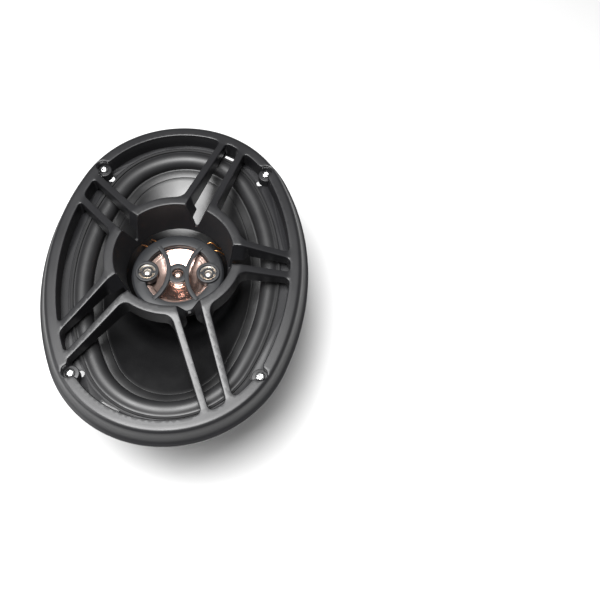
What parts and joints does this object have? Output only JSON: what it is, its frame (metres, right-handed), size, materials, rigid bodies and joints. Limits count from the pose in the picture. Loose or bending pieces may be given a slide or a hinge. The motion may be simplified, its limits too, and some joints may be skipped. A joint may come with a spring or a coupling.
{
  "type": "coaxial car speaker",
  "caption": "Oval coaxial car speaker with a moulded spoke grille, rubber-edged cone, centre pod of midrange and tweeters, stamped basket and ring magnet.",
  "frame": {"origin": "middle of the underside, under the magnet, on the speaker's axis", "axes": "+Z along the speaker's axis towards the listener; +Y along the oval's long side; +X along its short side, towards the terminals"},
  "size_m": [0.1834, 0.2516, 0.1051],
  "materials": {
    "grille_plastic": "moulded, fine grain, satin",
    "flange_steel": "black satin powder coat",
    "gasket_foam": "matt closed-cell foam",
    "surround_rubber": "satin butyl rubber",
    "cone_poly": "fine turned grooves, anisotropic sheen",
    "spider_cloth": "resin-coated corrugated cloth",
    "former_foil": "satin foil",
    "winding_copper": "enamelled copper wire",
    "motor_steel": "zinc-plated, satin",
    "magnet_ferrite": "sintered ferrite, matt",
    "boot_rubber": "matt rubber",
    "screw_zinc": "bright zinc",
    "pod_plastic": "satin painted plastic",
    "midrange_metal": "rose-gold anodised, polished",
    "tweeter_metal": "polished",
    "board_resin": "fibre board",
    "lead_copper": "braided tinsel",
    "capacitor_film": "dipped film capacitor"
  },
  "bodies": {
    "speaker": {"grille": "grille_plastic", "basket": "flange_steel", "front_gasket": "gasket_foam", "rear_gasket": "gasket_foam", "surround": "surround_rubber", "spider": "spider_cloth", "back_plate": "motor_steel", "top_plate": "motor_steel", "pole_piece": "motor_steel", "pod_stem": "motor_steel", "pod_nut": "screw_zinc", "magnet": "magnet_ferrite", "magnet_boot": "boot_rubber", "grille_screw_1": "screw_zinc", "grille_screw_2": "screw_zinc", "grille_screw_3": "screw_zinc", "grille_screw_4": "screw_zinc", "pod_housing": "pod_plastic", "pod_cover": "pod_plastic", "midrange_frame": "pod_plastic", "midrange_magnet": "motor_steel", "tweeter_cup_left": "tweeter_metal", "tweeter_cup_right": "tweeter_metal", "centre_dome": "midrange_metal", "terminal_board": "board_resin", "terminal_positive": "screw_zinc", "terminal_negative": "screw_zinc", "lead_positive": "lead_copper", "lead_negative": "lead_copper", "capacitor": "capacitor_film"},
    "cone_assembly": {"cone": "cone_poly", "voice_coil_former": "former_foil", "voice_coil_winding": "winding_copper"},
    "midrange_diaphragm": {"midrange_dish": "midrange_metal", "midrange_cap": "midrange_metal"},
    "tweeter_left": {"tweeter_dome_left": "tweeter_metal"},
    "tweeter_right": {"tweeter_dome_right": "tweeter_metal"}
  },
  "joints": [
    {"name": "cone_travel", "type": "slide", "parent": "speaker", "child": "cone_assembly", "axis": [0, 0, 1], "range_m": [-0.005, 0.005], "stiffness_N_per_m": 2500, "deforming": ["surround", "spider"]},
    {"name": "midrange_travel", "type": "slide", "parent": "speaker", "child": "midrange_diaphragm", "axis": [0, 0, 1], "range_m": [-0.0005, 0.0005], "stiffness_N_per_m": 4000},
    {"name": "tweeter_left_travel", "type": "slide", "parent": "speaker", "child": "tweeter_left", "axis": [0, 0, 1], "range_m": [-0.00025, 0.00025], "stiffness_N_per_m": 2000},
    {"name": "tweeter_right_travel", "type": "slide", "parent": "speaker", "child": "tweeter_right", "axis": [0, 0, 1], "range_m": [-0.00025, 0.00025], "stiffness_N_per_m": 2000}
  ]
}
